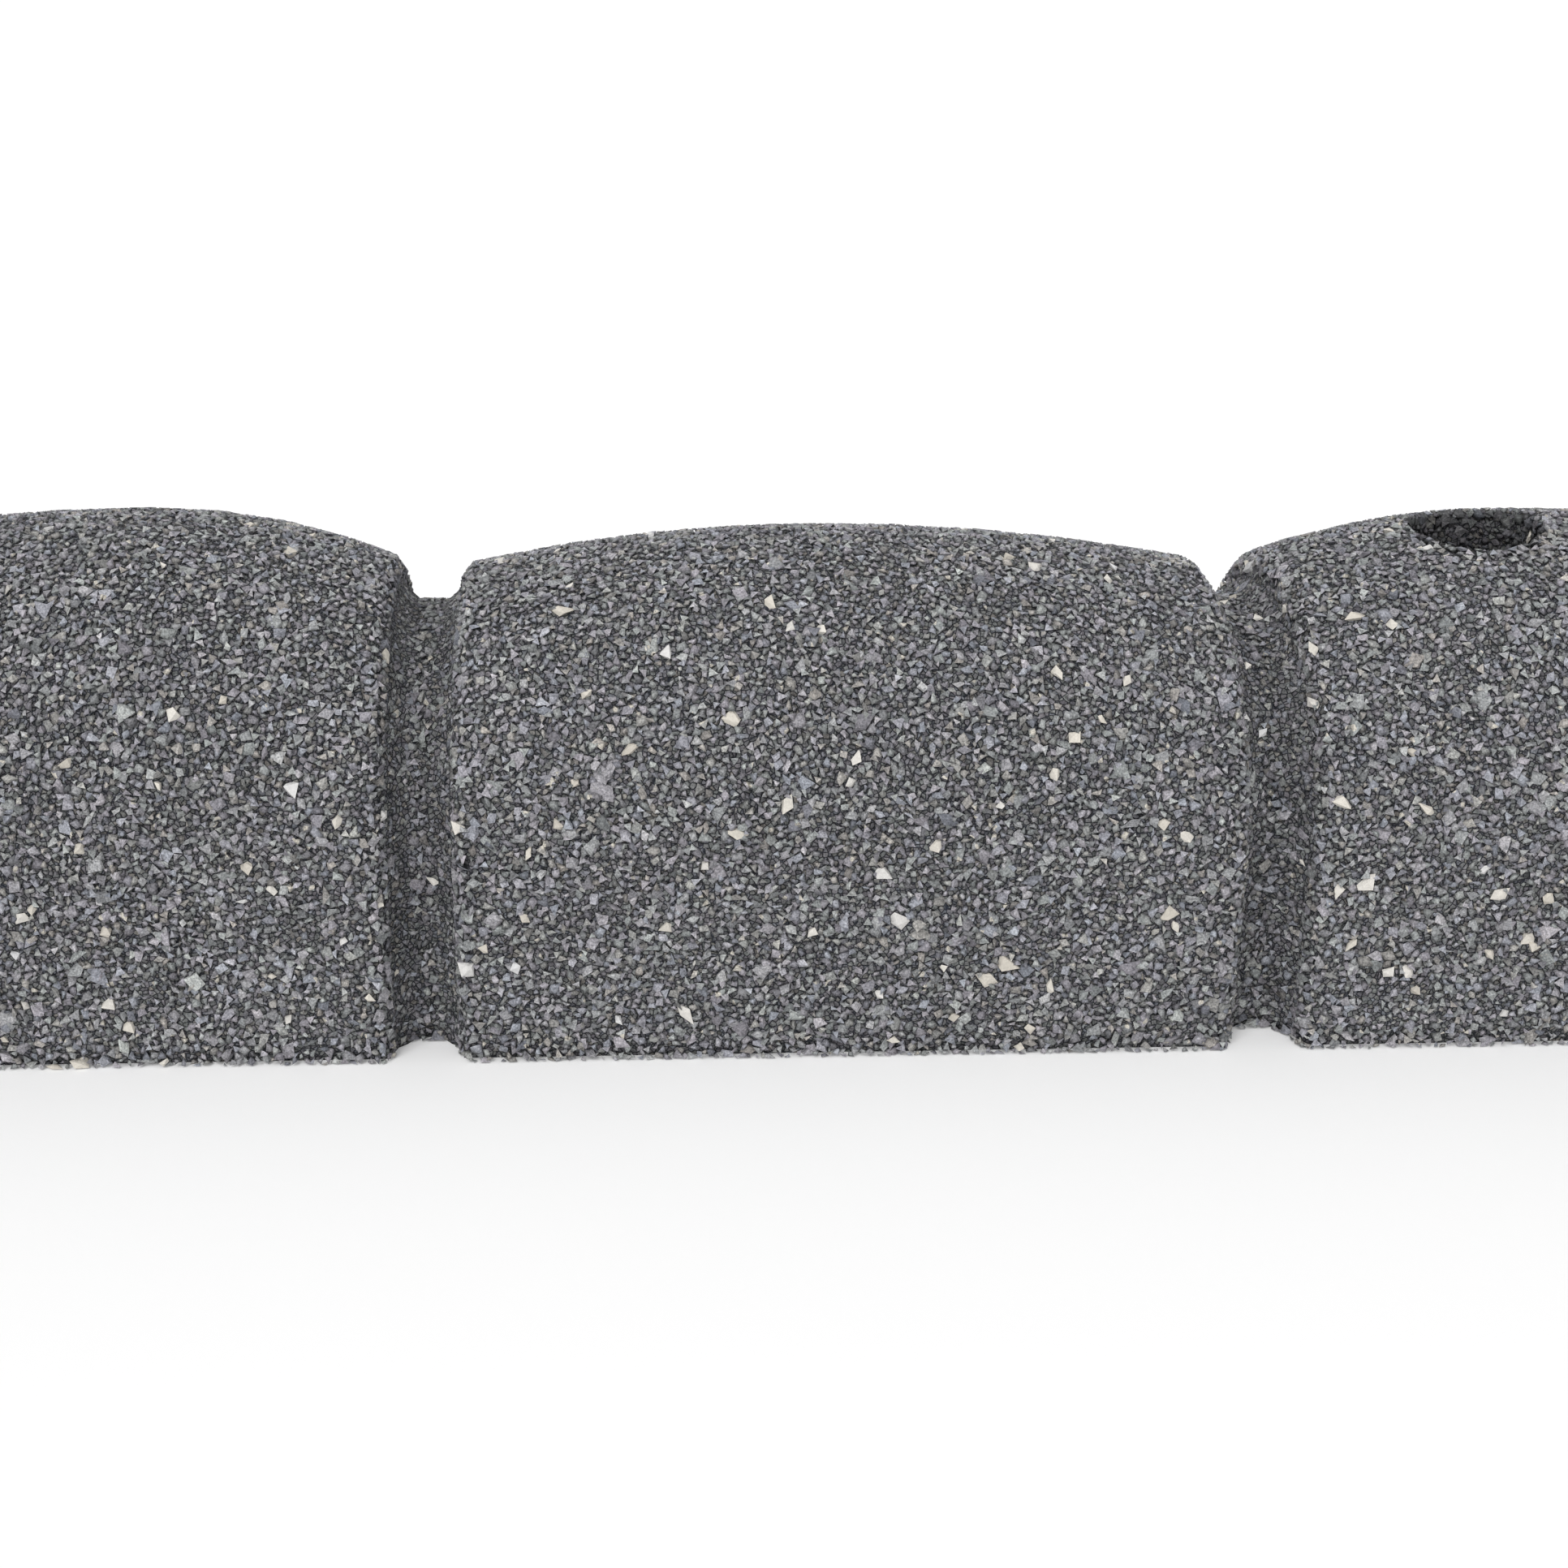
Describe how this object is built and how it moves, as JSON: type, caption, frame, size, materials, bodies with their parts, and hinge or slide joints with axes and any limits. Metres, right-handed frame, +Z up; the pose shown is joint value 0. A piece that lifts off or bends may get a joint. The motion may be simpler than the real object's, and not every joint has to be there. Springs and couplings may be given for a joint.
{
  "type": "garden edging",
  "caption": "Garden edging strip of bonded rubber crumb: cobble-like humps parted by grooves, with recessed spike holes and a flat underside.",
  "frame": {"origin": "middle of the flat underside, at ground level", "axes": "+X along the strip, front face towards -Y, +Z up"},
  "size_m": [1.2, 0.08, 0.0899],
  "materials": {
    "bonded_crumb": "matte, granular, dark grey with pale flecks"
  },
  "bodies": {
    "root": {"edging_strip": "bonded_crumb"}
  },
  "joints": []
}
